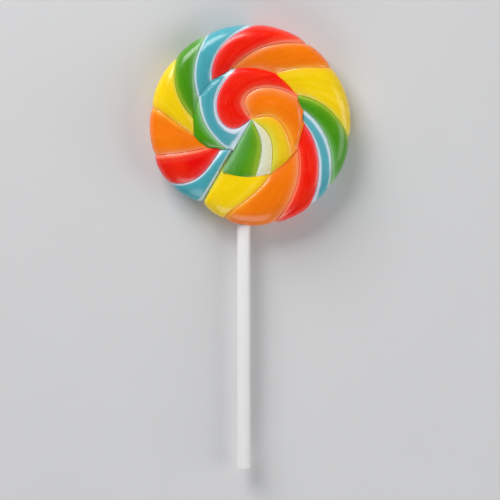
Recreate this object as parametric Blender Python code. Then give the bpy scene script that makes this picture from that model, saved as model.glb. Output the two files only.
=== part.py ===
"""Swirl lollipop: sugar strands twisted into a rope, coiled and pressed into a disc, on a round stick.

It lies on its back with the shown face up: +Y runs from the stick to the far rim, and +Z is up.
Sizes are in metres. A turn is a fraction of the circle, clockwise from the seam where the rope ends.
"""

import math

import bmesh
import bpy
import numpy as np
from mathutils import Matrix

# The disc
DISC_RADIUS = 0.0324
DISC_THICKNESS = 0.0115
SEAM_DENT = 0.0026
SEAM_DENT_SPREAD = 0.05
CREST = 0.5
RIM_ROUNDNESS = 2.5
BACK_ROUNDNESS = 3.2

# The seam at the rope's outer end, and the eye where the strands meet
SEAM_ANGLE = math.radians(215)
SEAM_LEAN = math.radians(-3)
SEAM_LEAN_FROM = 0.010
SEAM_LEAN_SPAN = 0.020
SEAM_DEPTH = 0.0011
SEAM_WIDTH = 0.0011
SEAM_FROM = 0.0064
SEAM_FADE = 0.0032
EYE_X = 0.0005
EYE_Y = 0.0026
EYE_DEPTH = 0.0007
EYE_WIDTH = 0.0026

# The groove between the outer and the inner coil
CORE_RADIUS = 0.0095
GROOVE_RADIUS = 0.018
GROOVE_SWAY = 0.0015
GROOVE_SWAY_FROM = 0.10
GROOVE_RISE = 0.13
GROOVE_FALL = 0.006
GROOVE_DEPTH = 0.0014
GROOVE_DEEP_FROM = 0.06
GROOVE_SHALLOW_FROM = 0.78
GROOVE_LEAST = 0.15
GROOVE_SCALLOP = 0.0007
OUTER_SHOULDER = 2.4
INNER_SHOULDER = 9

# The strands: their widths in degrees, how far their edges lean and bow across the rope, and the creases
STRAND_ORDER = ("blue", "red", "orange", "yellow", "green")
OUTER_WIDTHS = (20, 15, 23.5, 24.5, 20.5, 24.5, 27, 32, 36.5, 23, 14.5, 26.5, 35, 37.5)
EDGE_LEANS = (0, 5, 12, 21, 34, 36, 41, 55, 30, 42, 57, 58, 53, 42, 0)
EDGE_BOWS = (0, -8, 2, 5, 0, 1, -4, 3, 3, 0, 1, 4, 4, 10, 0)
BACK_LEAN = 0.15
INNER_STRANDS = ("green", "blue", "red", "orange", "yellow", "white", "green")
INNER_WIDTHS = (87, 46, 72, 65, 32, 17, 41)
INNER_LEAN = 0.36
INNER_LEAN_REACH = 0.65
INNER_LEAN_BEND = 1.3
INNER_LEAN_SETTLE = 6
THINNEST_WEDGE = 0.02
STRAND_DEPTH = 0.0008
STRAND_ROUNDNESS = 2.2
STRAND_FULL_WIDTH = 0.0028
STRAND_SWELL = 0.00015
SWELL_STEP = 2.4
CREASE_AT_GROOVE = 0.35
CREASE_FADE = 0.12
BACK_SHARE = 0.7
BACK_LAND = 0.00018

# The stick
STICK_RADIUS = 0.0021
STICK_OUTSIDE = 0.080
STICK_INNER_END = 0.0067
STICK_X = -0.0020
STICK_EDGE = 0.0003
STICK_SIDES = 32
SOCKET_GAP = 0.0003

# The grid of the candy's surface
COLUMNS = 144
FRONT_STEPS = (0.08, 0.16, 0.24, 0.33, 0.42, 0.51, 0.60, 0.69, 0.78, 0.86, 0.93)
BACK_STEPS = (0.12, 0.24, 0.38, 0.52, 0.66, 0.80, 0.92)
EVERY_COLUMN_FROM = 0.50
EVERY_SECOND_FROM = 0.25
MATCH_GROOVE_FROM = 0.75
SHOULDER_STEPS = (0.0, 0.05, 0.125, 0.25)
RIM_STEPS = tuple(math.radians(degrees) for degrees in (0, 28, 48, 65, 79))

COLOURS = {
    "blue": (0.09, 0.42, 0.55),
    "red": (0.90, 0.015, 0.008),
    "orange": (1.0, 0.22, 0.004),
    "yellow": (0.86, 0.60, 0.012),
    "green": (0.06, 0.36, 0.012),
    "white": (0.78, 0.74, 0.60),
    "stick": (0.86, 0.86, 0.87),
}
SUGAR_ROUGHNESS = 0.16
STICK_ROUGHNESS = 0.45
SHARP_ANGLE = math.radians(50)


def ease(value):
    """Rises smoothly from 0 to 1 while its value goes from 0 to 1."""
    held = np.clip(value, 0.0, 1.0)
    return held * held * (3 - 2 * held)


def seam_angle(radius):
    """Clockwise angle of the seam at a radius: it leans as it goes out."""
    return SEAM_ANGLE + SEAM_LEAN * ease((radius - SEAM_LEAN_FROM) / SEAM_LEAN_SPAN)


def coil_radius(turn):
    """Radius of the inner coil."""
    return GROOVE_RADIUS + GROOVE_SWAY * np.sin(2 * math.pi * (turn - GROOVE_SWAY_FROM))


def groove_radius(turn):
    """Radius of the groove round the inner coil, which dips to the core beside the seam."""
    reach = ease(turn / GROOVE_RISE) * ease((1 - turn) / GROOVE_FALL)
    return CORE_RADIUS + (coil_radius(turn) - CORE_RADIUS) * reach


def turns_from_seam(turn):
    """Distance from the seam either way round, in turns."""
    return np.abs((turn + 0.5) % 1.0 - 0.5)


def rim_radius(turn):
    """Radius of the outline, with the dent where the rope's end was pressed in."""
    return DISC_RADIUS - SEAM_DENT * np.exp(-((turns_from_seam(turn) / SEAM_DENT_SPREAD) ** 2))


def edges_of(shares):
    """Edges of strands that share one turn in proportion to their widths."""
    return np.concatenate(([0.0], np.cumsum(shares))) / sum(shares)


OUTER_COLOURS = tuple(STRAND_ORDER[k % len(STRAND_ORDER)] for k in range(len(OUTER_WIDTHS)))
OUTER_EDGES = edges_of(OUTER_WIDTHS)
INNER_EDGES = edges_of(INNER_WIDTHS)
SUGARS = tuple(dict.fromkeys(OUTER_COLOURS + INNER_STRANDS))


def lean(place):
    """How far an outer strand leans along the rope, in turns, from the groove to the rim."""
    return np.interp(place, OUTER_EDGES, EDGE_LEANS) / 360


def bow(place, across_rope):
    """How far an outer strand bows along the rope, in turns, between the groove and the rim."""
    return np.interp(place, OUTER_EDGES, EDGE_BOWS) / 360 * 4 * across_rope * (1 - across_rope)


def inner_lean(place):
    """How far an inner strand leans back along the rope, in turns, from the groove to the eye."""
    return INNER_LEAN * (1 - place**2)


def swirl(share):
    """Share of its lean that an inner strand has at a share of the coil's radius."""
    pulled = np.maximum((1 - share) / INNER_LEAN_REACH, 0.0) ** INNER_LEAN_BEND
    return pulled / (1 + pulled**INNER_LEAN_SETTLE) ** (1 / INNER_LEAN_SETTLE)


def column_edges(share):
    """Turns of the inner strands' edges at a share of the coil's radius, as the grid's columns follow them.

    The first strand thins to nothing near the eye, so its columns keep half of the next one's place.
    """
    edges = INNER_EDGES - inner_lean(INNER_EDGES) * swirl(share)
    edges[0] = 0.0
    edges[1] = max(edges[1], edges[2] / 2)
    return edges


def inner_strand_at(turn, radius):
    """Index of the inner strand at each point, how far across it the point is, and its width in turns.

    The first strand ends in a wedge beside the seam, and the others stay a wedge or wider.
    """
    leaning = swirl(radius / coil_radius(turn))[:, None]
    edges = INNER_EDGES[1:-1] - inner_lean(INNER_EDGES[1:-1]) * leaning
    edges = np.maximum(edges, THINNEST_WEDGE * np.arange(len(INNER_STRANDS) - 1))
    edges = np.hstack([np.zeros_like(leaning), edges, np.ones_like(leaning)])
    index = np.clip((turn[:, None] >= edges).sum(axis=1) - 1, 0, len(INNER_STRANDS) - 1)
    rows = np.arange(len(turn))
    first, last = edges[rows, index], edges[rows, index + 1]
    return index, np.clip((turn - first) / (last - first), 0.0, 1.0), last - first


def crease(across):
    """Depth of the crease beside a rounded strand: 1 on its edges, 0 on its crest."""
    from_crest = np.abs(2 * across - 1)
    return 1 - (1 - from_crest**STRAND_ROUNDNESS) ** (1 / STRAND_ROUNDNESS)


def groove_depth(turn):
    """Depth of the groove, which fades toward the seam, where the inner coil runs out into the outer one."""
    fade = ease((1 - turn) / (1 - GROOVE_SHALLOW_FROM)) * ease(turn / GROOVE_DEEP_FROM)
    return GROOVE_DEPTH * (GROOVE_LEAST + (1 - GROOVE_LEAST) * fade)


def seam_crease(turn, radius):
    """Depth of the seam, from the core out to the rim."""
    beside = turns_from_seam(turn) * 2 * math.pi * radius
    return SEAM_DEPTH * np.exp(-beside / SEAM_WIDTH) * ease((radius - SEAM_FROM) / SEAM_FADE)


def on_disc(turn, radius, pull):
    """Position on the disc, drawn toward the eye as the pull grows from 0 to 1."""
    angle = seam_angle(radius) + 2 * math.pi * turn
    return EYE_X * pull + radius * np.sin(angle), EYE_Y * pull + radius * np.cos(angle)


def column_places(edges, step):
    """Places of the grid's columns, closest together in the creases.

    Each strand has a number of columns in proportion to its width, a multiple of the step.
    """
    cuts = step * np.rint(COLUMNS * edges / step).astype(int)
    places = []
    for first, last, count in zip(edges, edges[1:], np.diff(cuts)):
        across = (1 - np.cos(math.pi * np.arange(count) / count)) / 2
        places.append(first + across * (last - first))
    return np.concatenate(places), np.repeat(np.arange(len(edges) - 1), np.diff(cuts))


class CandyFace:
    """Rings of points over one face of the candy, from the eye out to the rim."""

    def __init__(self, back):
        self.back = back
        self.roundness = BACK_ROUNDNESS if back else RIM_ROUNDNESS
        self.inner_steps = BACK_STEPS if back else FRONT_STEPS
        self.place, self.strand = column_places(OUTER_EDGES, 1)
        first, last = OUTER_EDGES[self.strand], OUTER_EDGES[self.strand + 1]
        self.across = (self.place - first) / (last - first)
        self.sugar = [SUGARS.index(OUTER_COLOURS[k]) for k in self.strand]
        self.groove_turn = self.turn_at(0)
        self.scallop = GROOVE_SCALLOP * (1 - crease(self.across))
        self.groove = groove_radius(self.groove_turn) - self.scallop
        self.inner_place, _ = column_places(INNER_EDGES, 4)

    def turn_at(self, across_rope):
        """Turn of each column on the outer coil: the strands lean on the front and on under the back."""
        if self.back:
            return self.place + lean(self.place) * (0.5 + BACK_LEAN * (1 - across_rope))
        return self.place + lean(self.place) * (across_rope - 0.5) + bow(self.place, across_rope)

    def height(self, sunk):
        """Height of the face that relief sinks by a depth; the back's crests are pressed flat at zero."""
        if self.back:
            return np.maximum(BACK_SHARE * sunk - BACK_LAND, 0.0)
        return DISC_THICKNESS - sunk

    def relief(self, turn, radius, fade):
        """Depth of the strands' creases and the seam, less the swell of each strand."""
        swell = STRAND_SWELL * np.sin(SWELL_STEP * self.strand) * (1 - crease(self.across))
        return STRAND_DEPTH * crease(self.across) * fade + seam_crease(turn, radius) - swell

    def inner_ring(self, share):
        """Ring inside the groove, at a share of the groove's radius, with fewer columns near the eye."""
        skip = 1 if share > EVERY_COLUMN_FROM else 2 if share > EVERY_SECOND_FROM else 4
        match = ease((share - MATCH_GROOVE_FROM) / (1 - MATCH_GROOVE_FROM))
        place = self.inner_place + (self.groove_turn - self.inner_place) * match
        turn = np.interp(place, INNER_EDGES, column_edges(share))[::skip]
        radius = share * (groove_radius(turn) - self.scallop[::skip] * match)
        strand, across, wide = inner_strand_at(turn, radius)
        fullness = ease(2 * math.pi * radius * wide / STRAND_FULL_WIDTH) * ease((1 - share) / CREASE_FADE)
        sunk = STRAND_DEPTH * crease(across) * fullness
        sunk = sunk + groove_depth(turn) * share**INNER_SHOULDER
        sunk = sunk + EYE_DEPTH * np.exp(-((radius / EYE_WIDTH) ** 2))
        x, y = on_disc(turn, radius, 1 - share)
        return x, y, self.height(sunk), [SUGARS.index(INNER_STRANDS[k]) for k in strand]

    def shoulder_ring(self, across_rope):
        """Ring on the outer coil between the groove and its crest."""
        turn = self.turn_at(across_rope)
        radius = self.groove + (rim_radius(turn) - self.groove) * across_rope
        fade = CREASE_AT_GROOVE + (1 - CREASE_AT_GROOVE) * ease(across_rope / CREASE_FADE)
        sunk = groove_depth(turn) * (1 - across_rope / CREST) ** OUTER_SHOULDER
        x, y = on_disc(turn, radius, 0)
        return x, y, self.height(sunk + self.relief(turn, radius, fade)), self.sugar

    def rim_ring(self, slope):
        """Ring on the rounded rim, where the surface has turned by an angle from flat."""
        out = math.sin(slope) ** (2 / self.roundness)
        drop = DISC_THICKNESS / 2 * (1 - math.cos(slope) ** (2 / self.roundness))
        across_rope = CREST + (1 - CREST) * out
        turn = self.turn_at(across_rope)
        radius = self.groove + (rim_radius(turn) - self.groove) * across_rope
        sunk = self.relief(turn, radius, 1)
        x, y = on_disc(turn, radius - np.maximum(sunk, 0.0) * math.sin(slope), 0)
        face = self.height(sunk * math.cos(slope))
        return x, y, face + drop if self.back else face - drop, self.sugar

    def rings(self):
        """Rings of the face from the innermost out to the last before the rim's edge."""
        rings = [self.inner_ring(share) for share in self.inner_steps]
        rings += [self.shoulder_ring(across_rope) for across_rope in SHOULDER_STEPS]
        return rings + [self.rim_ring(slope) for slope in RIM_STEPS]


def add_ring(mesh, ring):
    """Adds one ring of points to a mesh, each with the sugar that follows it along the rope."""
    x, y, z, sugar = ring
    return [(mesh.verts.new(point), k) for point, k in zip(zip(x, y, z), sugar)]


def add_face(mesh, corners, sugar, back):
    """Adds one triangle of a sugar, facing up on the front and down on the back."""
    face = mesh.faces.new([vertex for vertex, _ in (corners if back else corners[::-1])])
    face.material_index = sugar


def join_rings(mesh, inner, outer, back):
    """Fills the band between two rings; the outer one has as many points or twice as many."""
    step = len(outer) // len(inner)
    for k, near in enumerate(inner):
        far = [outer[(step * k + i) % len(outer)] for i in range(step + 1)]
        for first, last in zip(far, far[1:]):
            add_face(mesh, (near, first, last), near[1], back)
        add_face(mesh, (near, far[-1], inner[(k + 1) % len(inner)]), near[1], back)


def close_eye(mesh, ring, height, back):
    """Closes the middle of a face with a fan of triangles about the eye."""
    eye = (mesh.verts.new((EYE_X, EYE_Y, height)), 0)
    for near, following in zip(ring, ring[1:] + ring[:1]):
        add_face(mesh, (eye, near, following), near[1], back)


def new_object(name, mesh_data, place):
    """Puts a mesh in the scene, shaded smooth with its true creases left sharp."""
    mesh_data.shade_smooth()
    mesh_data.set_sharp_from_angle(angle=SHARP_ANGLE)
    item = bpy.data.objects.new(name, mesh_data)
    item.location = place
    bpy.context.scene.collection.objects.link(item)
    return item


def surface_material(name, colour, roughness):
    """Plain Principled material."""
    material = bpy.data.materials.new(name)
    material.use_nodes = True
    shader = material.node_tree.nodes["Principled BSDF"]
    shader.inputs["Base Color"].default_value = (*colour, 1.0)
    shader.inputs["Roughness"].default_value = roughness
    shader.inputs["Metallic"].default_value = 0.0
    return material


def candy_mesh():
    """Closed mesh of the pressed coil."""
    mesh = bmesh.new()
    front, back = CandyFace(False), CandyFace(True)
    edge = add_ring(mesh, front.rim_ring(math.pi / 2))
    for face in (front, back):
        rings = [add_ring(mesh, ring) for ring in face.rings()]
        for inner, outer in zip(rings, rings[1:] + [edge]):
            join_rings(mesh, inner, outer, face.back)
        close_eye(mesh, rings[0], float(face.height(EYE_DEPTH)), face.back)
    data = bpy.data.meshes.new("candy")
    mesh.to_mesh(data)
    mesh.free()
    for colour in SUGARS:
        data.materials.append(surface_material(f"sugar_{colour}", COLOURS[colour], SUGAR_ROUGHNESS))
    return data


def rod_mesh(name, radius, near_end, far_end, edge):
    """Closed round rod along Y between two ends, with its end edges rounded."""
    mesh = bmesh.new()
    bmesh.ops.create_circle(mesh, cap_ends=True, radius=radius, segments=STICK_SIDES)
    bmesh.ops.rotate(mesh, verts=mesh.verts, matrix=Matrix.Rotation(math.pi / 2, 3, "X"), cent=(0, 0, 0))
    bmesh.ops.translate(mesh, verts=mesh.verts, vec=(0, near_end, 0))
    grown = bmesh.ops.extrude_face_region(mesh, geom=list(mesh.faces))
    moved = [item for item in grown["geom"] if isinstance(item, bmesh.types.BMVert)]
    bmesh.ops.translate(mesh, verts=moved, vec=(0, far_end - near_end, 0))
    bmesh.ops.recalc_face_normals(mesh, faces=mesh.faces)
    if edge:
        rims = [item for item in mesh.edges if abs(item.verts[0].co.y - item.verts[1].co.y) < edge]
        bmesh.ops.bevel(mesh, geom=rims, offset=edge, segments=2, profile=0.5, affect="EDGES")
    data = bpy.data.meshes.new(name)
    mesh.to_mesh(data)
    mesh.free()
    return data


def main():
    for item in list(bpy.data.objects):
        bpy.data.objects.remove(item)
    candy_data = candy_mesh()
    stick_end = -DISC_RADIUS - STICK_OUTSIDE
    xs = [vertex.co.x for vertex in candy_data.vertices]
    far_rim = max(vertex.co.y for vertex in candy_data.vertices)
    middle = (-(max(xs) + min(xs)) / 2, -(far_rim + stick_end) / 2, 0)
    axis = (middle[0] + STICK_X, middle[1], DISC_THICKNESS / 2)

    candy = new_object("candy", candy_data, middle)
    stick_data = rod_mesh("stick", STICK_RADIUS, stick_end, STICK_INNER_END, STICK_EDGE)
    stick_data.materials.append(surface_material("white_stick", COLOURS["stick"], STICK_ROUGHNESS))
    new_object("stick", stick_data, axis)

    socket_data = rod_mesh(
        "socket", STICK_RADIUS + SOCKET_GAP, stick_end, STICK_INNER_END + SOCKET_GAP, 0
    )
    socket = new_object("socket", socket_data, axis)
    socket.hide_render = True
    socket.display_type = "WIRE"
    cut = candy.modifiers.new("socket", "BOOLEAN")
    cut.operation = "DIFFERENCE"
    cut.solver = "EXACT"
    cut.object = socket


if __name__ == "__main__":
    main()
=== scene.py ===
"""Swirl lollipop: strands of pulled sugar coiled and pressed into a disc, on a round stick.

It lies on its back with the shown face up: +Y runs from the stick to the far rim, and +Z is up.
Sizes are in metres. A turn is a fraction of the circle, clockwise from the seam where the rope ends.
"""

import logging
import math
from dataclasses import dataclass, field
from enum import Enum
from typing import Any, Callable

import bpy
import numpy as np
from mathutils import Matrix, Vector


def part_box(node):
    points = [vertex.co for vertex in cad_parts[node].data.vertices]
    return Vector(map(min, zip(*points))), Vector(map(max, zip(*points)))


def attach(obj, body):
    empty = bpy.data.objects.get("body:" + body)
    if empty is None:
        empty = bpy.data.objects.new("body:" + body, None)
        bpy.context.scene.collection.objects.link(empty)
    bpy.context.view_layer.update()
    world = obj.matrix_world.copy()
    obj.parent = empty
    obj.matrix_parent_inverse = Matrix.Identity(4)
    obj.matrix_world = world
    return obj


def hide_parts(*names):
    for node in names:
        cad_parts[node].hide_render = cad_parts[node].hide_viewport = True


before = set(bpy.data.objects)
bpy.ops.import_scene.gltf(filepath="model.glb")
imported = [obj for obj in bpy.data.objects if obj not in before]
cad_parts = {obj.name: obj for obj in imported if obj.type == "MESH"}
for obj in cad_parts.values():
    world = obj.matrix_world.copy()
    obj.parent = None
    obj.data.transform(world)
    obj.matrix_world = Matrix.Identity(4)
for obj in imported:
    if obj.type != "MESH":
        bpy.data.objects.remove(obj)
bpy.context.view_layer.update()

LOG = logging.getLogger("lollipop")
CENTIMETRES = 100
Colour = tuple[float, float, float]
Array = np.ndarray
Item = bpy.types.Object
Socket = bpy.types.NodeSocket


class Sugar(Enum):
    """The sugars that the strands are pulled from."""

    BLUE = "blue"
    RED = "red"
    ORANGE = "orange"
    YELLOW = "yellow"
    GREEN = "green"
    WHITE = "white"


@dataclass(frozen=True)
class SugarTone:
    """Colours of one strand: its body, and the colours along its two sides, which are partly real blends
    and white lines and partly a painted highlight.

    The share of a side's colour is the alpha that its ramp carries. The body's is its bleed: how
    much the sides' colours spread into it.
    """

    body: Colour
    bleed: float
    near_side: Colour
    near_share: float
    far_side: Colour
    far_share: float


# Side colours: the white lines beside the blue strands and the blends where two sugars meet are real. The
# paler, pinkish edges of the red, orange, yellow, green and white strands are partly a painted highlight
# for light caught on the strands' ridges.
TONES: dict[Sugar, SugarTone] = {
    Sugar.BLUE: SugarTone((0.070, 0.39, 0.46), 0.12, (0.62, 0.76, 0.84), 0.95, (0.68, 0.74, 0.84), 0.95),
    Sugar.RED: SugarTone((0.92, 0.010, 0.006), 0.30, (0.88, 0.12, 0.14), 0.55, (1.00, 0.27, 0.14), 0.70),
    Sugar.ORANGE: SugarTone((0.98, 0.20, 0.003), 0.50, (1.00, 0.33, 0.13), 0.75, (1.00, 0.46, 0.04), 0.65),
    Sugar.YELLOW: SugarTone((0.93, 0.63, 0.009), 0.50, (0.98, 0.50, 0.03), 0.60, (0.72, 0.72, 0.08), 0.65),
    Sugar.GREEN: SugarTone((0.075, 0.32, 0.008), 0.60, (0.34, 0.52, 0.03), 0.70, (0.30, 0.58, 0.30), 0.60),
    Sugar.WHITE: SugarTone((0.74, 0.74, 0.57), 0.40, (0.84, 0.78, 0.40), 0.50, (0.74, 0.80, 0.62), 0.50),
}


def ease(value: Array | float) -> Array:
    """Rises smoothly from 0 to 1 while its value goes from 0 to 1."""
    held = np.clip(value, 0.0, 1.0)
    return held * held * (3 - 2 * held)


def edges_of(shares: list[float] | tuple[float, ...]) -> Array:
    """Edges in turns, from 0 to 1, of strands that share one turn in proportion to their widths."""
    return np.concatenate(([0.0], np.cumsum(shares))) / sum(shares)


def turns_from_seam(turn: Array) -> Array:
    """The shorter way back to the seam, up to half a turn."""
    return np.abs((turn + 0.5) % 1.0 - 0.5)


@dataclass(frozen=True)
class Disc:
    """Outline and section of the pressed disc."""

    radius: float = 0.0324
    thickness: float = 0.0115
    dent: float = 0.0026
    dent_spread: float = 0.05
    crest: float = 0.5
    rim_roundness: float = 2.5
    back_roundness: float = 3.2

    def rim_at(self, turn: Array) -> Array:
        """Radius of the outline, with the dent where the rope's end was pressed in."""
        return self.radius - self.dent * np.exp(-((turns_from_seam(turn) / self.dent_spread) ** 2))


@dataclass(frozen=True)
class Seam:
    """The rope's outer end, pressed against the coil beside it."""

    angle: float = math.radians(215)
    lean: float = math.radians(-3)
    lean_from: float = 0.010
    lean_span: float = 0.020
    depth: float = 0.0011
    width: float = 0.0011
    starts: float = 0.0064
    fade: float = 0.0032

    def angle_at(self, radius: Array) -> Array:
        """Clockwise angle of the seam at a radius: it leans as it goes out."""
        return self.angle + self.lean * ease((radius - self.lean_from) / self.lean_span)

    def crease(self, turn: Array, radius: Array) -> Array:
        """Depth of the seam, from the core out to the rim."""
        beside = turns_from_seam(turn) * 2 * math.pi * radius
        return self.depth * np.exp(-beside / self.width) * ease((radius - self.starts) / self.fade)


@dataclass(frozen=True)
class Eye:
    """The point where the inner strands meet, a little off the disc's centre."""

    x: float = 0.0005
    y: float = 0.0026
    depth: float = 0.0007
    width: float = 0.0026

    def dip(self, radius: Array) -> Array:
        """Depth of the shallow dip about the eye."""
        return self.depth * np.exp(-((radius / self.width) ** 2))


@dataclass(frozen=True)
class Groove:
    """The groove between the outer and the inner coil."""

    core: float = 0.0095
    radius: float = 0.018
    sway: float = 0.0015
    sway_from: float = 0.10
    rise: float = 0.13
    fall: float = 0.006
    depth: float = 0.0014
    deep_from: float = 0.06
    shallow_from: float = 0.78
    least: float = 0.15
    scallop: float = 0.0007
    outer_shoulder: float = 2.4
    inner_shoulder: float = 9.0

    def coil_at(self, turn: Array) -> Array:
        """Radius of the inner coil."""
        return self.radius + self.sway * np.sin(2 * math.pi * (turn - self.sway_from))

    def radius_at(self, turn: Array) -> Array:
        """Radius of the groove, which dips to the core beside the seam."""
        reach = ease(turn / self.rise) * ease((1 - turn) / self.fall)
        return self.core + (self.coil_at(turn) - self.core) * reach

    def depth_at(self, turn: Array) -> Array:
        """Depth of the groove, which fades by the seam, where the inner coil runs into the outer one."""
        fade = ease((1 - turn) / (1 - self.shallow_from)) * ease(turn / self.deep_from)
        return self.depth * (self.least + (1 - self.least) * fade)


@dataclass(frozen=True)
class Relief:
    """Rounded form of the strands and the creases between them."""

    depth: float = 0.0008
    roundness: float = 2.2
    swell: float = 0.00015
    swell_step: float = 2.4
    at_groove: float = 0.35
    fade: float = 0.12
    inner_fade: float = 0.24
    seam_fade: float = 0.34
    seam_fade_span: float = 0.25
    back_share: float = 0.7
    back_land: float = 0.00018
    full_width: float = 0.0028
    wave: float = 0.00009
    wave_rates: tuple[float, ...] = (410, 330, 365, 450)
    wave_bends: tuple[float, float] = (1.7, 1.3)
    wave_share: float = 0.36
    ripple_rates: tuple[float, ...] = (1250, 900, 1130)
    ripple_bend: float = 2.1
    ripple_share: float = 0.14
    offsets: tuple[float, ...] = (1.0, 0.6, -0.4)

    def crease(self, across: Array) -> Array:
        """Depth of the crease beside a rounded strand: 1 on its edges, 0 on its crest."""
        from_crest = np.abs(2 * across - 1)
        return 1 - (1 - from_crest**self.roundness) ** (1 / self.roundness)

    def fullness(self, width: Array) -> Array:
        """Share of its full relief that a strand of a width has: a thin one is pressed flatter."""
        return ease(width / self.full_width)

    def inner_strength(self, share: float, turn: Array) -> Array:
        """Share of the inner strands' relief, which fades at the groove and sooner by the seam."""
        by_seam = 1 - ease(turn / self.seam_fade_span)
        return ease((1 - share) / (self.inner_fade + self.seam_fade * by_seam))

    def hand_pulled(self, x: Array, y: Array) -> Array:
        """Depth of slight dips from pulling and pressing by hand: slow waves and quick ripples."""
        (a, b, c, d), (e, f, g) = self.wave_rates, self.ripple_rates
        (bend_x, bend_y), (shift, late, early) = self.wave_bends, self.offsets
        slow = np.sin(a * x + bend_x * np.sin(b * y)) * np.sin(c * y + bend_y * np.sin(d * x + shift))
        quick = np.sin(e * x + self.ripple_bend * np.sin(f * y + late)) * np.sin(g * y + early)
        return self.wave * (0.5 + self.wave_share * slow + self.ripple_share * quick)


@dataclass(frozen=True)
class OuterStrands:
    """The strands of the outer coil, in their order from the seam; angles are in degrees."""

    order: tuple[Sugar, ...] = (Sugar.BLUE, Sugar.RED, Sugar.ORANGE, Sugar.YELLOW, Sugar.GREEN)
    widths: tuple[float, ...] = (20, 15, 23.5, 24.5, 20.5, 24.5, 27, 32, 36.5, 23, 14.5, 26.5, 35, 37.5)
    leans: tuple[float, ...] = (0, 5, 12, 21, 34, 36, 41, 55, 30, 42, 57, 58, 53, 42, 0)
    bows: tuple[float, ...] = (0, -8, 2, 5, 0, 1, -4, 3, 3, 0, 1, 4, 4, 10, 0)
    back_lean: float = 0.15

    def edges(self) -> Array:
        """Edges of the strands, in turns."""
        return edges_of(self.widths)

    def lean_at(self, place: Array) -> Array:
        """How far a strand leans along the rope, in turns, from the groove to the rim."""
        return np.interp(place, self.edges(), self.leans) / 360

    def bow_at(self, place: Array, across_rope: float) -> Array:
        """How far a strand bows along the rope, in turns, between the groove and the rim."""
        return np.interp(place, self.edges(), self.bows) / 360 * 4 * across_rope * (1 - across_rope)

    def turn_at(self, place: Array, across_rope: float, back: bool) -> Array:
        """Turn of each column: the strands lean on the front and on under the back.

        Args:
            place: Turn of each column at the middle of the rope.
            across_rope: Share of the way from the groove to the rim.
            back: True on the back of the disc.

        Returns:
            The turn of each column there.
        """
        if back:
            return place + self.lean_at(place) * (0.5 + self.back_lean * (1 - across_rope))
        return place + self.lean_at(place) * (across_rope - 0.5) + self.bow_at(place, across_rope)


@dataclass(frozen=True)
class InnerStrands:
    """The strands of the inner coil, which swirl in to the eye."""

    order: tuple[Sugar, ...] = (
        Sugar.GREEN, Sugar.BLUE, Sugar.RED, Sugar.ORANGE, Sugar.YELLOW, Sugar.WHITE, Sugar.GREEN,
    )
    widths: tuple[float, ...] = (87, 46, 72, 65, 32, 17, 41)
    lean: float = 0.36
    reach: float = 0.65
    bend: float = 1.3
    settle: float = 6.0
    thinnest: float = 0.02
    first_columns: float = 0.5
    pinch: float = 0.024
    pinch_from: float = 0.30
    pinch_span: float = 0.35

    def swirl(self, share: Array) -> Array:
        """Share of its lean that a strand has at a share of the coil's radius."""
        pulled = np.maximum((1 - share) / self.reach, 0.0) ** self.bend
        return pulled / (1 + pulled**self.settle) ** (1 / self.settle)

    def edges_at(self, share: Array) -> Array:
        """One row of edges in turns for each point, from its share of the coil's radius."""
        inside = edges_of(self.widths)[1:-1]
        leaning = self.swirl(share)[:, None]
        edges = inside - self.lean * (1 - inside**2) * leaning
        edges[:, :1] -= self.pinch * ease((leaning - self.pinch_from) / self.pinch_span)
        edges = np.maximum(edges, self.thinnest * np.arange(len(self.order) - 1))
        return np.hstack([np.zeros_like(leaning), edges, np.ones_like(leaning)])

    def strand_at(self, turn: Array, share: Array) -> tuple[Array, Array, Array]:
        """Finds the strand at each point.

        Args:
            turn: Turn of each point.
            share: Share of the coil's radius at each point.

        Returns:
            The strand's number, how far across it the point is, and its width in turns.
        """
        edges = self.edges_at(share)
        number = np.clip((turn[:, None] >= edges).sum(axis=1) - 1, 0, len(self.order) - 1)
        rows = np.arange(len(turn))
        first, last = edges[rows, number], edges[rows, number + 1]
        return number, np.clip((turn - first) / (last - first), 0.0, 1.0), last - first


@dataclass
class Ring:
    """One ring of points, with what the finish needs to know at each corner.

    The marks have one row more than the points, which closes the ring, and four columns: the strand's
    number plus the place across it, the place across the rope, the strand's width and the way along it.
    """

    points: Array
    marks: Array
    marks_inside: Array | None = None
    first: int = 0

    def corners(self) -> Array:
        """Numbers of the ring's points, with the first one again at the end."""
        count = len(self.points)
        return self.first + np.append(np.arange(count), 0)


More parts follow.
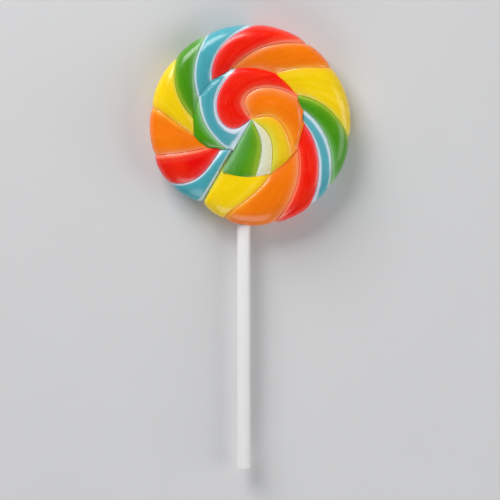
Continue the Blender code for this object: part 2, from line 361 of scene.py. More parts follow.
@dataclass
class Skin:
    """Closed mesh that is laid ring by ring."""

    points: list[Array] = field(default_factory=list)
    faces: list[Array] = field(default_factory=list)
    marks: list[Array] = field(default_factory=list)
    count: int = 0

    def add_ring(self, ring: Ring) -> None:
        """Adds a ring's points and numbers them."""
        ring.first = self.count
        self.points.append(ring.points)
        self.count += len(ring.points)

    def add_faces(self, corners: list[Array], marks: list[Array], back: bool) -> None:
        """Adds a row of faces, facing up on the front and down on the back.

        Args:
            corners: Point numbers of each corner, one array a corner, outward and then clockwise.
            marks: The marks of each corner, in the same order.
            back: True on the back of the disc.
        """
        turned = slice(None) if back else slice(None, None, -1)
        self.faces.append(np.stack(corners[turned], axis=1))
        self.marks.append(np.stack(marks[turned], axis=1))

    def join(self, inner: Ring, outer: Ring, back: bool) -> None:
        """Fills the band between two rings; the outer one has as many points or twice as many."""
        near, far = inner.corners(), outer.corners()
        near_marks = inner.marks
        far_marks = outer.marks if outer.marks_inside is None else outer.marks_inside
        if len(near) == len(far):
            self.add_faces(
                [near[:-1], far[:-1], far[1:], near[1:]],
                [near_marks[:-1], far_marks[:-1], far_marks[1:], near_marks[1:]],
                back,
            )
            return
        left, middle, right = far[:-1:2], far[1::2], far[2::2]
        left_marks, middle_marks, right_marks = far_marks[:-1:2], far_marks[1::2], far_marks[2::2]
        start, start_marks = near[:-1], near_marks[:-1]
        self.add_faces([start, left, middle], [start_marks, left_marks, middle_marks], back)
        self.add_faces([start, middle, right], [start_marks, middle_marks, right_marks], back)
        self.add_faces([start, right, near[1:]], [start_marks, right_marks, near_marks[1:]], back)

    def close(self, ring: Ring, point: tuple[float, float, float], back: bool) -> None:
        """Closes the middle of a face with a fan of triangles about one point."""
        centre = np.full(len(ring.points), self.count)
        self.points.append(np.array([point]))
        self.count += 1
        near = ring.corners()
        middle = (ring.marks[:-1] + ring.marks[1:]) / 2
        self.add_faces([centre, near[:-1], near[1:]], [middle, ring.marks[:-1], ring.marks[1:]], back)

    def as_object(self, name: str) -> Item:
        """Makes the skin an object, its marks kept as two UV maps.

        Args:
            name: Name of the object.

        Returns:
            The object, at the origin and smoothly shaded.
        """
        data = bpy.data.meshes.new(name)
        rows = [face for group in self.faces for face in group.tolist()]
        data.from_pydata(np.concatenate(self.points).tolist(), [], rows)
        marks = np.concatenate([group.reshape(-1, 4) for group in self.marks]).astype(np.float32)
        for layer, first in (("strand", 0), ("size", 2)):
            data.uv_layers.new(name=layer)
            data.uv_layers[layer].data.foreach_set("uv", marks[:, first : first + 2].ravel())
        data.shade_smooth()
        item = bpy.data.objects.new(name, data)
        bpy.context.scene.collection.objects.link(item)
        return item


@dataclass
class CandyFace:
    """One face of the candy as rings of points, from the eye out to the rim."""

    candy: "Candy"
    back: bool

    def __post_init__(self) -> None:
        """Lays out the columns that the rings share."""
        outer, edges = self.candy.outer, self.candy.outer.edges()
        self.place, self.number, self.across = self.columns(edges, 1)
        self.wide = np.diff(edges)[self.number]
        edges = edges_of(self.candy.inner.widths)
        self.inner_place, self.inner_number, self.inner_across = self.columns(edges, self.candy.widest_skip)
        self.groove_turn = outer.turn_at(self.place, 0.0, self.back)
        self.scallop = self.candy.groove.scallop * (1 - self.candy.relief.crease(self.across))
        self.groove_radius = self.candy.groove.radius_at(self.groove_turn) - self.scallop

    def columns(self, edges: Array, step: int) -> tuple[Array, Array, Array]:
        """Places of the columns, closest together in the creases.

        Args:
            edges: Edges of the strands, in turns.
            step: Number that each strand's count of columns is a multiple of.

        Returns:
            The place of each column, the number of its strand and how far across it the column is.
        """
        cuts = step * np.rint(self.candy.column_count * edges / step).astype(int)
        places = []
        for first, last, count in zip(edges, edges[1:], np.diff(cuts)):
            across = (1 - np.cos(math.pi * np.arange(count) / count)) / 2
            places.append(first + across * (last - first))
        place, number = np.concatenate(places), np.repeat(np.arange(len(edges) - 1), np.diff(cuts))
        return place, number, (place - edges[number]) / (edges[number + 1] - edges[number])

    def height(self, sunk: Array) -> Array:
        """Height of the face where relief sinks it; the back's crests are pressed flat at zero."""
        relief = self.candy.relief
        if self.back:
            return np.maximum(relief.back_share * sunk - relief.back_land, 0.0)
        return self.candy.disc.thickness - sunk

    def on_disc(self, turn: Array, radius: Array, pull: float) -> tuple[Array, Array]:
        """Place on the disc, drawn toward the eye as the pull grows from 0 to 1."""
        angle = self.candy.seam.angle_at(radius) + 2 * math.pi * turn
        eye = self.candy.eye
        return eye.x * pull + radius * np.sin(angle), eye.y * pull + radius * np.cos(angle)

    def uneven(self, x: Array, y: Array) -> Array:
        """Depth of the hand-pulled dips, which the flat back doesn't show."""
        return np.zeros_like(x) if self.back else self.candy.relief.hand_pulled(x, y)

    def marks(self, phase: Array, rope: float, wide: Array, along: Array | float, strands: int) -> Array:
        """Gathers what the finish needs to know, in centimetres, with the row that closes the ring.

        Args:
            phase: Strand's number plus the place across it.
            rope: Place across the rope.
            wide: Width of the strand there.
            along: Way along the strand there.
            strands: Number of strands in the coil.

        Returns:
            One row of marks a point and one more.
        """
        count = len(phase)
        rows = np.empty((count + 1, 4))
        rows[:-1, 0], rows[-1, 0] = phase, strands
        rows[:, 1] = rope
        rows[:-1, 2], rows[-1, 2] = CENTIMETRES * wide, CENTIMETRES * wide[-1]
        rows[:-1, 3] = CENTIMETRES * np.broadcast_to(along, count)
        rows[-1, 3] = rows[-2, 3]
        return rows

    def lay(self, turn: Array, radius: Array, pull: float, sunk: Array, marks: Array) -> Ring:
        """Ring on the face where relief sinks it, with the hand-pulled dips."""
        x, y = self.on_disc(turn, radius, pull)
        return Ring(np.stack([x, y, self.height(sunk + self.uneven(x, y))], axis=1), marks)

    def inner_marks(self, turn: Array, radius: Array, rope: float) -> tuple[Array, Array]:
        """Marks of points on the inner coil.

        Args:
            turn: Turn of each point.
            radius: Radius of each point.
            rope: Place across the rope, from -1 at the eye to 0 in the groove.

        Returns:
            The marks, and how far across its strand each point is.
        """
        inner, groove = self.candy.inner, self.candy.groove
        share = radius / groove.coil_at(turn)
        number, across, wide = inner.strand_at(turn, share)
        phase = number + across
        reach = np.clip((1 - share) / inner.reach, 0.0, 1.0)
        slope = 2 * math.pi * share * inner.lean * inner.bend * reach ** (inner.bend - 1) / inner.reach
        width = wide * 2 * math.pi * radius / np.sqrt(1 + slope**2)
        along = radius * np.sqrt(1 + slope**2)
        return self.marks(phase, rope, width, along, len(inner.order)), across

    def inner_ring(self, share: float) -> Ring:
        """Ring inside the groove, at a share of its radius, with fewer columns near the eye."""
        candy, groove = self.candy, self.candy.groove
        skip = 1 if share > candy.every_column_from else 2
        if share <= candy.every_second_from:
            skip = candy.widest_skip
        match = float(ease((share - candy.match_from) / (1 - candy.match_from)))
        number, across = self.inner_number, self.inner_across
        rows = np.arange(len(number))
        turn = self.inner_place.copy()
        for _ in range(candy.settle_steps):
            radius = share * (groove.radius_at(turn) - self.scallop * match)
            edges = candy.inner.edges_at(radius / groove.coil_at(turn))
            edges[:, 1] = np.maximum(edges[:, 1], edges[:, 2] * candy.inner.first_columns)
            first, last = edges[rows, number], edges[rows, number + 1]
            target = first + across * (last - first)
            target = target + (self.groove_turn - target) * match
            turn = (turn + target) / 2
        turn = turn[::skip]
        radius = share * (groove.radius_at(turn) - self.scallop[::skip] * match)
        marks, across = self.inner_marks(turn, radius, share - 1)
        fullness = candy.relief.fullness(marks[:-1, 2] / CENTIMETRES)
        fullness = fullness * candy.relief.inner_strength(share, turn)
        sunk = candy.relief.depth * candy.relief.crease(across) * fullness
        sunk = sunk + groove.depth_at(turn) * share**groove.inner_shoulder
        return self.lay(turn, radius, 1 - share, sunk + candy.eye.dip(radius), marks)

    def outer_marks(self, radius: Array, rim: Array, rope: float) -> Array:
        """Marks of points on the outer coil.

        Args:
            radius: Radius of each point.
            rim: Radius of the outline beside it.
            rope: Place across the rope: 0 in the groove, 1 on the rim and 2 in the back's groove.

        Returns:
            The marks of the ring.
        """
        span = np.maximum(rim - self.groove_radius, self.candy.least_span)
        slope = 2 * math.pi * radius * self.candy.outer.lean_at(self.place) / span
        width = self.wide * 2 * math.pi * radius / np.sqrt(1 + slope**2)
        along = rope * span * np.sqrt(1 + slope**2)
        return self.marks(self.number + self.across, rope, width, along, len(self.candy.outer.widths))

    def relief(self, turn: Array, radius: Array, fade: float) -> Array:
        """Depth of the strands' creases and the seam, less the swell of each strand."""
        form = self.candy.relief
        crease = form.crease(self.across)
        swell = form.swell * np.sin(form.swell_step * self.number) * (1 - crease)
        return form.depth * crease * fade + self.candy.seam.crease(turn, radius) - swell

    def across_coil(self, across_rope: float) -> tuple[Array, Array, Array]:
        """Turn and radius of the columns at a place across the rope, and the outline's radius there."""
        turn = self.candy.outer.turn_at(self.place, across_rope, self.back)
        rim = self.candy.disc.rim_at(turn)
        return turn, self.groove_radius + (rim - self.groove_radius) * across_rope, rim

    def shoulder_ring(self, across_rope: float) -> Ring:
        """Ring on the outer coil between the groove and its crest."""
        candy = self.candy
        turn, radius, rim = self.across_coil(across_rope)
        risen = float(ease(across_rope / candy.relief.fade))
        fade = candy.relief.at_groove + (1 - candy.relief.at_groove) * risen
        shoulder = (1 - across_rope / candy.disc.crest) ** candy.groove.outer_shoulder
        sunk = candy.groove.depth_at(turn) * shoulder + self.relief(turn, radius, fade)
        rope = 2 - across_rope if self.back else across_rope
        ring = self.lay(turn, radius, 0.0, sunk, self.outer_marks(radius, rim, rope))
        if across_rope == 0:
            ring.marks_inside, _ = self.inner_marks(turn, radius, 0.0)
        return ring

    def rim_ring(self, slope: float) -> Ring:
        """Ring on the rounded rim, where the surface has turned by an angle from flat."""
        candy = self.candy
        roundness = candy.disc.back_roundness if self.back else candy.disc.rim_roundness
        out = math.sin(slope) ** (2 / roundness)
        drop = candy.disc.thickness / 2 * (1 - math.cos(slope) ** (2 / roundness))
        across_rope = candy.disc.crest + (1 - candy.disc.crest) * out
        turn, radius, rim = self.across_coil(across_rope)
        sunk = self.relief(turn, radius, 1.0)
        x, y = self.on_disc(turn, radius, 0.0)
        sunk = sunk + self.uneven(x, y)
        x, y = self.on_disc(turn, radius - np.maximum(sunk, 0.0) * math.sin(slope), 0.0)
        face = self.height(sunk * math.cos(slope))
        z = face + drop if self.back else face - drop
        rope = 2 - across_rope if self.back else across_rope
        return Ring(np.stack([x, y, z], axis=1), self.outer_marks(radius, rim, rope))

    def rings(self) -> list[Ring]:
        """Rings of the face from the innermost out to the last before the rim's edge."""
        candy = self.candy
        inner, shoulder, rim = candy.back_rings if self.back else candy.front_rings
        steps = (np.arange(inner) + candy.first_step) / inner
        rings = [self.inner_ring(float(share)) for share in 1 - (1 - steps) ** candy.ring_crowding]
        rings += [self.shoulder_ring(float(k) / shoulder * candy.disc.crest) for k in range(shoulder)]
        return rings + [self.rim_ring(math.pi / 2 * k / rim) for k in range(rim)]


@dataclass
class Candy:
    """The pressed coil of pulled sugar; rings are counted to the groove, the crest and the rim."""

    disc: Disc = Disc()
    seam: Seam = Seam()
    eye: Eye = Eye()
    groove: Groove = Groove()
    relief: Relief = Relief()
    outer: OuterStrands = OuterStrands()
    inner: InnerStrands = InnerStrands()
    column_count: int = 576
    front_rings: tuple[int, int, int] = (66, 16, 14)
    back_rings: tuple[int, int, int] = (18, 8, 12)
    first_step: float = 0.6
    ring_crowding: float = 1.35
    every_column_from: float = 0.34
    every_second_from: float = 0.14
    widest_skip: int = 4
    match_from: float = 0.86
    settle_steps: int = 24
    least_span: float = 0.0001
    sharp_angle: float = math.radians(60)

    def build(self, middle: Vector, socket: Item) -> Item:
        """Builds the candy where the CAD solid is, with a socket for the stick.

        Args:
            middle: Centre of the disc's underside.
            socket: Rod that is cut from the candy and then removed.

        Returns:
            The candy.
        """
        skin = Skin()
        front, back = CandyFace(self, False), CandyFace(self, True)
        edge = front.rim_ring(math.pi / 2)
        skin.add_ring(edge)
        for face in (front, back):
            rings = face.rings()
            for ring in rings:
                skin.add_ring(ring)
            for inner, outer in zip(rings, rings[1:] + [edge]):
                skin.join(inner, outer, face.back)
            height = float(face.height(np.array(self.eye.depth)))
            skin.close(rings[0], (self.eye.x, self.eye.y, height), face.back)
        skin.points = [points + np.array(middle) for points in skin.points]
        candy = skin.as_object("candy_swirl")
        self.cut(candy, socket)
        candy.data.set_sharp_from_angle(angle=self.sharp_angle)
        return candy

    def cut(self, candy: Item, socket: Item) -> None:
        """Cuts the stick's socket into the candy with a rod, which is removed afterwards."""
        cutter = candy.modifiers.new("socket", "BOOLEAN")
        cutter.operation = "DIFFERENCE"
        cutter.solver = "EXACT"
        cutter.object = socket
        bpy.ops.object.select_all(action="DESELECT")
        candy.select_set(True)
        bpy.context.view_layer.objects.active = candy
        bpy.ops.object.modifier_apply(modifier=cutter.name)
        bpy.data.objects.remove(socket)


@dataclass
class Stick:
    """The round stick, one end of it pressed into the candy.

    It runs a little to one side of the disc's middle, which is to_middle past its free end.
    """

    radius: float = 0.0021
    aside: float = -0.0020
    to_middle: float = 0.1124
    end_edge: float = 0.00035
    sides: int = 72
    edge_steps: int = 4
    end_facing: float = 0.9
    smooth_angle: float = math.radians(40)
    socket_gap: float = 0.00001

    def rod(self, name: str, radius: float, near_end: float, far_end: float, centre: Vector) -> Item:
        """Lays a plain rod along Y.

        Args:
            name: Name of the rod.
            radius: Its radius.
            near_end: Lowest Y.
            far_end: Highest Y.
            centre: Any point on its axis.

        Returns:
            The rod, its place in its mesh.
        """
        bpy.ops.object.select_all(action="DESELECT")
        bpy.ops.mesh.primitive_cylinder_add(
            vertices=self.sides,
            radius=radius,
            depth=far_end - near_end,
            location=(centre.x, (near_end + far_end) / 2, centre.z),
            rotation=(math.pi / 2, 0, 0),
        )
        rod = bpy.context.object
        rod.name = name
        rod.data.name = name
        bpy.ops.object.transform_apply(location=True, rotation=True, scale=True)
        return rod

    def build(self, lowest: Vector, highest: Vector) -> Item:
        """Builds the stick in its CAD solid's box, its ends softly rounded.

        Args:
            lowest: Lowest corner of the box.
            highest: Highest corner of the box.

        Returns:
            The stick.
        """
        stick = self.rod("stick_round", self.radius, lowest.y, highest.y, (lowest + highest) / 2)
        bpy.ops.object.mode_set(mode="EDIT")
        bpy.ops.mesh.select_mode(type="FACE")
        bpy.ops.mesh.select_all(action="DESELECT")
        bpy.ops.object.mode_set(mode="OBJECT")
        for face in stick.data.polygons:
            face.select = abs(face.normal.y) > self.end_facing
        bpy.ops.object.mode_set(mode="EDIT")
        bpy.ops.mesh.region_to_loop()
        bpy.ops.mesh.bevel(offset=self.end_edge, segments=self.edge_steps, profile=0.5)
        bpy.ops.mesh.select_all(action="SELECT")
        bpy.ops.mesh.normals_make_consistent(inside=False)
        bpy.ops.object.mode_set(mode="OBJECT")
        bpy.ops.object.shade_smooth_by_angle(angle=self.smooth_angle)
        return stick

    def socket(self, lowest: Vector, highest: Vector) -> Item:
        """Rod that cuts the candy, a hair wider than the stick."""
        gap = self.socket_gap
        middle = (lowest + highest) / 2
        return self.rod("socket", self.radius + gap, lowest.y, highest.y + gap, middle)


def sign(operation: str, swapped: bool = False) -> Callable[["Signal", Any], "Signal"]:
    """Makes the method behind an arithmetic sign; swapped where the signal is on its right."""

    def add_node(signal: "Signal", other: Any) -> "Signal":
        """Adds the node."""
        first, second = (other, signal) if swapped else (signal, other)
        return signal.math(operation, first, second)

    return add_node


class Signal:
    """A number that changes over a surface; the arithmetic signs add its Math nodes."""

    def __init__(self, bench: "Bench", socket: Socket) -> None:
        """Keeps the socket and the bench that its nodes are laid on."""
        self.bench = bench
        self.socket = socket

    def math(self, operation: str, first: Any, second: Any = 0.0) -> "Signal":
        """Result of one Math node with two values or signals."""
        return self.bench.signal("ShaderNodeMath", {"operation": operation}, {0: first, 1: second})

    __add__ = sign("ADD")
    __radd__ = sign("ADD", swapped=True)
    __sub__ = sign("SUBTRACT")
    __rsub__ = sign("SUBTRACT", swapped=True)
    __mul__ = sign("MULTIPLY")
    __rmul__ = sign("MULTIPLY", swapped=True)
    __truediv__ = sign("DIVIDE")
    __mod__ = sign("FLOORED_MODULO")
    __lt__ = sign("LESS_THAN")
    __gt__ = sign("GREATER_THAN")

    def floor(self) -> "Signal":
        """Whole part."""
        return self.math("FLOOR", self)

    def lowest(self, other: Any) -> "Signal":
        """The lower of two."""
        return self.math("MINIMUM", self, other)

    def rise(self, start: float, end: float) -> "Signal":
        """Rises smoothly from 0 to 1 as this goes from the start to the end."""
        inputs = {"Value": self, "From Min": start, "From Max": end}
        return self.bench.signal("ShaderNodeMapRange", {"interpolation_type": "SMOOTHSTEP"}, inputs)


class Bench:
    """One material and the nodes that are laid for it."""

    def __init__(self, name: str) -> None:
        """Starts a material with a Principled shader."""
        self.material = bpy.data.materials.new(name)
        self.material.use_nodes = True
        self.tree = self.material.node_tree
        self.shader = self.tree.nodes["Principled BSDF"]

    def node(self, kind: str, settings: dict[str, Any], inputs: dict[int | str, Any]) -> bpy.types.Node:
        """Adds one node.

        Args:
            kind: Type of the node.
            settings: Its settings, or a ramp's stops.
            inputs: The value or link of each socket, by name or number.

        Returns:
            The node.
        """
        node = self.tree.nodes.new(kind)
        for name, value in settings.items():
            if name == "stops":
                self.set_stops(node.color_ramp, value)
            else:
                setattr(node, name, value)
        for name, value in inputs.items():
            self.plug(node.inputs[name], value)
        return node

    def set_stops(self, ramp: bpy.types.ColorRamp, stops: list[tuple[float, tuple[float, ...]]]) -> None:
        """Sets a ramp's stops, each of which holds its colour up to the next."""
        ramp.interpolation = "CONSTANT"
        while len(ramp.elements) < len(stops):
            ramp.elements.new(0.5)
        for element, (place, colour) in zip(ramp.elements, stops):
            element.position = place
            element.color = colour

    def plug(self, socket: Socket, value: Any) -> None:
        """Links a signal or a socket to a socket, or sets its value."""
        if isinstance(value, Signal):
            self.tree.links.new(value.socket, socket)
        elif isinstance(value, Socket):
            self.tree.links.new(value, socket)
        else:
            socket.default_value = value

    def signal(self, kind: str, settings: dict[str, Any], inputs: dict[int | str, Any]) -> Signal:
        """Adds one node and gives its first output as a signal."""
        return Signal(self, self.node(kind, settings, inputs).outputs[0])

    def mix(self, share: Any, first: Any, second: Any, blend: str = "MIX") -> Socket:
        """Mixes a share of the second colour over the first."""
        settings = {"data_type": "RGBA", "blend_type": blend}
        return self.node("ShaderNodeMix", settings, {0: share, 6: first, 7: second}).outputs[2]

    def uv(self, layer: str) -> tuple[Signal, Signal]:
        """The two values of a UV map."""
        place = self.node("ShaderNodeUVMap", {"uv_map": layer}, {}).outputs[0]
        parts = self.node("ShaderNodeSeparateXYZ", {}, {0: place})
        return Signal(self, parts.outputs[0]), Signal(self, parts.outputs[1])

    def vector(self, x: Any, y: Any, z: Any) -> Socket:
        """A vector of three signals or values."""
        return self.node("ShaderNodeCombineXYZ", {}, {0: x, 1: y, 2: z}).outputs[0]

    def object_place(self) -> Socket:
        """Place on the object, in metres."""
        return self.node("ShaderNodeTexCoord", {}, {}).outputs["Object"]

    def noise(self, place: Any, scale: float, detail: float = 2.0, roughness: float = 0.5) -> Signal:
        """Soft noise from 0 to 1, about 0.5."""
        inputs = {"Vector": place, "Scale": scale, "Detail": detail, "Roughness": roughness}
        return self.signal("ShaderNodeTexNoise", {}, inputs)

    def bump(self, height: Any, distance: float, strength: float) -> Socket:
        """Normal of a surface that is raised by a signal, over a distance in metres."""
        inputs = {"Height": height, "Distance": distance, "Strength": strength}
        return self.node("ShaderNodeBump", {}, inputs).outputs[0]

    def finish(self, item: Item, varying: dict[str, Any], plain: dict[str, Any]) -> None:
        """Gives the shader its values and the object its material.

        Args:
            item: The object.
            varying: What changes over the surface, by socket.
            plain: What is the same all over, by socket.
        """
        for name, value in {**varying, **plain}.items():
            self.plug(self.shader.inputs[name], value)
        item.data.materials.clear()
        item.data.materials.append(self.material)


@dataclass(frozen=True)
class PulledSugar:
    """Finish of the candy: boiled sugar pulled into strands that are fused side by side, with painted shade
    in the creases and a painted highlight along some strands' edges.
    """

    side_width: float = 0.092
    side_plateau: float = 0.45
    bleed_width: float = 0.24
    seam_line: float = 0.075
    side_wobble: float = 0.035
    wobble_scale: float = 420.0
    # Width and strength of the painted shade along the strands' creases.
    crease_shade_width: float = 0.014
    crease_painted_shade: float = 0.15
    last_phase: float = 0.99999
    streak_rates: tuple[float, float, float] = (7.0, 0.55, 0.4)
    streak_rough: float = 0.6
    cloud_scale: float = 120.0
    hue: float = 0.497
    hue_range: float = 0.009
    saturation: float = 1.06
    saturation_range: float = 0.10
    value: float = 0.80
    streak_value: float = 0.22
    cloud_value: float = 0.18
    batch_step: float = 2.4
    batch_range: float = 0.045
    bubble_scale: float = 900.0
    bubble_edge: tuple[float, float] = (0.10, 0.17)
    bubble_rarity: float = 0.86
    bubble_share: float = 0.11
    bubble_colour: Colour = (1.0, 0.97, 0.90)
    ripple_scale: float = 260.0
    streak_height: float = 0.35
    ripple_height: float = 0.45
    bubble_height: float = 0.10
    bump_distance: float = 0.00006
    bump_strength: float = 0.9
    roughness: float = 0.20
    roughness_range: float = 0.16
    cloud_share: float = 0.6
    bend_of_light: float = 1.49
    shine: float = 0.36
    coat: float = 0.25
    coat_roughness: float = 0.09
    glow: float = 0.18
    glow_depth: float = 0.0011
    glow_radius: Colour = (1.0, 0.6, 0.35)

    def stops(self, order: tuple[Sugar, ...], part: str) -> list[tuple[float, tuple[float, ...]]]:
        """Stops of a ramp that gives each strand of a coil its colour.

        Args:
            order: The strands' sugars.
            part: Name of the tone's colour: body, near_side or far_side.

        Returns:
            One stop a strand; its alpha is the share of a side's colour, or the body's bleed.
        """
        rows = []
        for k, sugar in enumerate(order):
            tone = TONES[sugar]
            share = tone.bleed if part == "body" else getattr(tone, part.replace("_side", "_share"))
            rows.append((k / len(order), (*getattr(tone, part), share)))
        return rows

    def strand_colour(
        self, bench: Bench, phase: Signal, inner: Signal, candy: Candy, part: str
    ) -> tuple[Socket, Signal]:
        """Colour of the strand at each point, from the ramps of the two coils.

        Args:
            bench: The material's bench.
            phase: Strand's number plus the place across it.
            inner: 1 on the inner coil.
            candy: The candy, for the order of its strands.
            part: Name of the tone's colour.

        Returns:
            The colour's socket and its alpha.
        """
        outer_order, inner_order = candy.outer.order, candy.inner.order
        outer_ramp = bench.node(
            "ShaderNodeValToRGB",
            {"stops": self.stops(outer_order, part)},
            {0: (phase % len(outer_order)) / len(outer_order)},
        )
        inner_ramp = bench.node(
            "ShaderNodeValToRGB", {"stops": self.stops(inner_order, part)}, {0: phase / len(inner_order)}
        )
        colour = bench.mix(inner, outer_ramp.outputs[0], inner_ramp.outputs[0])
        outer_share = Signal(bench, outer_ramp.outputs[1])
        inner_share = Signal(bench, inner_ramp.outputs[1])
        return colour, outer_share + (inner_share - outer_share) * inner

    def bubbles(self, bench: Bench, place: Socket) -> Signal:
        """1 on the few small bubbles in the sugar, else 0."""
        cells = bench.node("ShaderNodeTexVoronoi", {}, {"Vector": place, "Scale": self.bubble_scale})
        dot = 1.0 - Signal(bench, cells.outputs["Distance"]).rise(*self.bubble_edge)
        chosen = bench.signal("ShaderNodeSeparateColor", {}, {0: cells.outputs["Color"]})
        return dot * (chosen > self.bubble_rarity)

    def dress(self, item: Item, candy: Candy) -> None:
        """Gives the candy its finish.

        Args:
            item: The candy's object, with its two UV maps.
            candy: The candy's sizes and strands.
        """
        bench = Bench("pulled_sugar")
        phase, rope = bench.uv("strand")
        wide, along = bench.uv("size")
        inner = rope < 0.0
        number = (phase * self.last_phase).floor()
        across = phase - number
        place = bench.object_place()

        wobble = (bench.noise(place, self.wobble_scale) - 0.5) * self.side_wobble
        beside_seam = (phase < 1.0) * (rope > 0.0)
        near = across * wide + wobble - beside_seam * self.seam_line
        far = (1.0 - across) * wide - wobble

        rates = self.streak_rates
        streak_place = bench.vector(phase * rates[0], along * rates[1], rope * rates[2])
        streaks = bench.noise(streak_place, 1.0, 3.0, self.streak_rough)
        clouds = bench.noise(place, self.cloud_scale, 3.0)
        body, bleed = self.strand_colour(bench, phase, inner, candy, "body")
        sides = (
            (near, *self.strand_colour(bench, phase, inner, candy, "near_side")),
            (far, *self.strand_colour(bench, phase, inner, candy, "far_side")),
        )
        batch = number.math("COSINE", number * self.batch_step) * self.batch_range
        tint = bench.node(
            "ShaderNodeHueSaturation",
            {},
            {
                "Hue": self.hue + clouds * self.hue_range,
                "Saturation": self.saturation - streaks * self.saturation_range,
                "Value": self.value + streaks * self.streak_value + clouds * self.cloud_value + batch,
                "Color": body,
            },
        ).outputs[0]
        colour = tint
        # The side colours bleed a little into each strand: partly the real blend of neighbouring sugars,
        # partly a painted highlight along the strands' ridges.
        for distance, side, share in sides:
            spread = (1.0 - distance.rise(0.0, self.bleed_width)) * bleed
            colour = bench.mix(spread * share, colour, side)
        # Pale lines along both edges of each strand: real white lines beside the blue strands, and
        # elsewhere partly a painted highlight on the ridges.
        for distance, side, share in sides:
            line = 1.0 - distance.rise(self.side_plateau * self.side_width, self.side_width)
            colour = bench.mix(line * share, colour, side)
        # Painted shade: a thin band along each strand's creases is darkened by multiplying with the
        # strand's own tint, where the creases' shade falls.
        crease = 1.0 - near.lowest(far).rise(0.0, self.crease_shade_width)
        colour = bench.mix(crease * self.crease_painted_shade, colour, tint, "MULTIPLY")

        bubble = self.bubbles(bench, place)
        colour = bench.mix(bubble * self.bubble_share, colour, (*self.bubble_colour, 1.0))
        ripples = bench.noise(place, self.ripple_scale)
        height = streaks * self.streak_height + ripples * self.ripple_height - bubble * self.bubble_height
        uneven = clouds * self.cloud_share + streaks * (1 - self.cloud_share)
        bench.finish(
            item,
            {
                "Base Color": colour,
                "Roughness": self.roughness + uneven * self.roughness_range,
                "Normal": bench.bump(height, self.bump_distance, self.bump_strength),
            },
            {
                "IOR": self.bend_of_light,
                "Specular IOR Level": self.shine,
                "Coat Weight": self.coat,
                "Coat Roughness": self.coat_roughness,
                "Subsurface Weight": self.glow,
                "Subsurface Scale": self.glow_depth,
                "Subsurface Radius": self.glow_radius,
            },
        )


@dataclass(frozen=True)
class DrawnPlastic:
    """Finish of the stick: plain white plastic, drawn through a die that leaves faint lines along it."""

    colour: Colour = (0.87, 0.865, 0.87)
    shade: Colour = (0.78, 0.775, 0.79)
    line_rate: float = 4200.0
    line_stretch: float = 18.0
    line_level: float = 0.35
    line_share: float = 0.7
    cloud_scale: float = 90.0
    cloud_share: float = 0.8
    scuff_rate: float = 900.0
    scuff_stretch: float = 260.0
    scuff_rough: float = 0.7
    scuff_level: float = 0.3
    line_height: float = 0.5
    scuff_height: float = 0.2
    bump_distance: float = 0.00003
    bump_strength: float = 0.8
    roughness: float = 0.34
    roughness_range: float = 0.16
    bend_of_light: float = 1.46
    glow: float = 0.12
    glow_depth: float = 0.0012
    glow_radius: Colour = (1.0, 0.95, 0.9)

    def dress(self, item: Item) -> None:
        """Gives the stick its finish.

        Args:
            item: The stick's object, which lies along Y.
        """
        bench = Bench("drawn_plastic")
        place = bench.object_place()
        parts = bench.node("ShaderNodeSeparateXYZ", {}, {0: place})
        x, y, z = (Signal(bench, parts.outputs[k]) for k in range(3))
        line_place = bench.vector(x * self.line_rate, y * self.line_stretch, z * self.line_rate)
        lines = bench.noise(line_place, 1.0)
        clouds = bench.noise(place, self.cloud_scale, 3.0)
        scuff_place = bench.vector(x * self.scuff_rate, y * self.scuff_stretch, z * self.scuff_rate)
        scuffs = bench.noise(scuff_place, 1.0, 4.0, self.scuff_rough)
        share = (lines - self.line_level) * self.line_share + (clouds - 0.5) * self.cloud_share
        height = lines * self.line_height + scuffs * self.scuff_height
        bench.finish(
            item,
            {
                "Base Color": bench.mix(share, (*self.colour, 1.0), (*self.shade, 1.0)),
                "Roughness": self.roughness + self.roughness_range * (scuffs - self.scuff_level),
                "Normal": bench.bump(height, self.bump_distance, self.bump_strength),
            },
            {
                "IOR": self.bend_of_light,
                "Subsurface Weight": self.glow,
                "Subsurface Scale": self.glow_depth,
                "Subsurface Radius": self.glow_radius,
            },
        )


@dataclass(frozen=True)
class Lamp:
    """One soft square light."""

    name: str
    place: tuple[float, float, float]
    size: float
    power: float


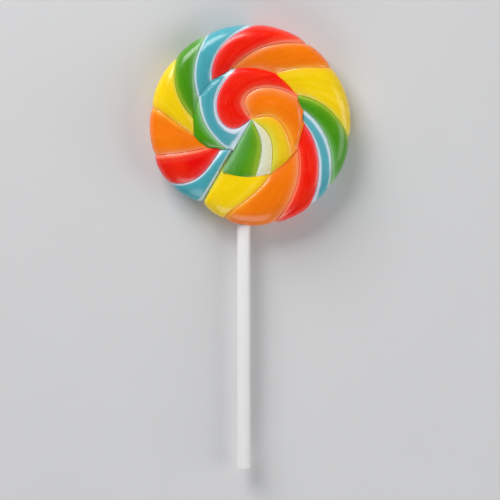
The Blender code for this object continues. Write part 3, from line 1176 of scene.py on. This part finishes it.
@dataclass
class Studio:
    """Pale floor, soft lights and the camera."""

    floor_size: float = 4.0
    floor_colour: Colour = (0.66, 0.665, 0.675)
    floor_shade: Colour = (0.60, 0.60, 0.61)
    floor_roughness: float = 0.85
    grain_scale: float = 40.0
    grain_share: float = 0.3
    world_colour: Colour = (1.0, 1.0, 1.0)
    world_strength: float = 0.09
    aim: tuple[float, float, float] = (0.0, 0.0, 0.006)
    distance: float = 0.62
    tilt: float = math.radians(8)
    lens: float = 138.0
    sensor: float = 36.0
    nearest: float = 0.01
    lamps: tuple[Lamp, ...] = (
        Lamp("key_light", (-0.40, 0.70, 0.45), 0.55, 9.0),
        Lamp("fill_light", (0.75, -0.05, 0.42), 0.60, 3.3),
        Lamp("front_light", (-0.10, -0.75, 0.42), 0.60, 3.3),
    )

    def floor(self) -> None:
        """Lays the plain floor."""
        bpy.ops.object.select_all(action="DESELECT")
        bpy.ops.mesh.primitive_plane_add(size=self.floor_size, location=(0, 0, 0))
        floor = bpy.context.object
        floor.name = "floor"
        bench = Bench("pale_floor")
        grain = bench.noise(bench.object_place(), self.grain_scale, 3.0)
        colour = bench.mix(grain * self.grain_share, (*self.floor_colour, 1.0), (*self.floor_shade, 1.0))
        bench.finish(floor, {"Base Color": colour}, {"Roughness": self.floor_roughness})

    def light(self) -> None:
        """Sets the soft lights and an even sky."""
        world = bpy.data.worlds.new("soft_sky")
        bpy.context.scene.world = world
        world.use_nodes = True
        sky = world.node_tree.nodes["Background"]
        sky.inputs["Color"].default_value = (*self.world_colour, 1.0)
        sky.inputs["Strength"].default_value = self.world_strength
        for lamp in self.lamps:
            data = bpy.data.lights.new(lamp.name, "AREA")
            data.shape = "SQUARE"
            data.size = lamp.size
            data.energy = lamp.power
            item = bpy.data.objects.new(lamp.name, data)
            item.location = lamp.place
            away = Vector(self.aim) - Vector(lamp.place)
            item.rotation_euler = away.to_track_quat("-Z", "Y").to_euler()
            bpy.context.scene.collection.objects.link(item)

    def camera(self) -> None:
        """Looks down on the shown face from a little beyond the far rim, as the photographer did."""
        data = bpy.data.cameras.new("camera")
        data.lens = self.lens
        data.sensor_width = self.sensor
        data.clip_start = self.nearest
        item = bpy.data.objects.new("camera", data)
        away = Vector((0.0, math.sin(self.tilt), math.cos(self.tilt)))
        item.location = Vector(self.aim) + self.distance * away
        item.rotation_euler = (-self.tilt, 0.0, 0.0)
        bpy.context.scene.collection.objects.link(item)
        bpy.context.scene.camera = item

    def build(self) -> None:
        """Sets up the whole studio."""
        self.floor()
        self.light()
        self.camera()
        bpy.context.scene.view_settings.view_transform = "Standard"


def place_piece(piece: Item, node: str) -> None:
    """Lets a finished piece stand for a CAD node: hides the node and attaches the piece to the root body.
    """
    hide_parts(node)
    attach(piece, "root")
    LOG.info("%s: %d faces", piece.name, len(piece.data.polygons))


def main() -> None:
    """Builds the lollipop and its studio in order."""
    logging.basicConfig(level=logging.INFO, format="%(name)s: %(message)s")
    studio = Studio()
    studio.build()
    LOG.info("studio set")

    candy, stick = Candy(), Stick()
    lowest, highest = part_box("stick")
    middle = Vector(((lowest.x + highest.x) / 2 - stick.aside, lowest.y + stick.to_middle, 0.0))
    swirl = candy.build(middle, stick.socket(lowest, highest))
    PulledSugar().dress(swirl, candy)
    place_piece(swirl, "candy")

    rod = stick.build(lowest, highest)
    DrawnPlastic().dress(rod)
    place_piece(rod, "stick")


if __name__ == "__main__":
    main()
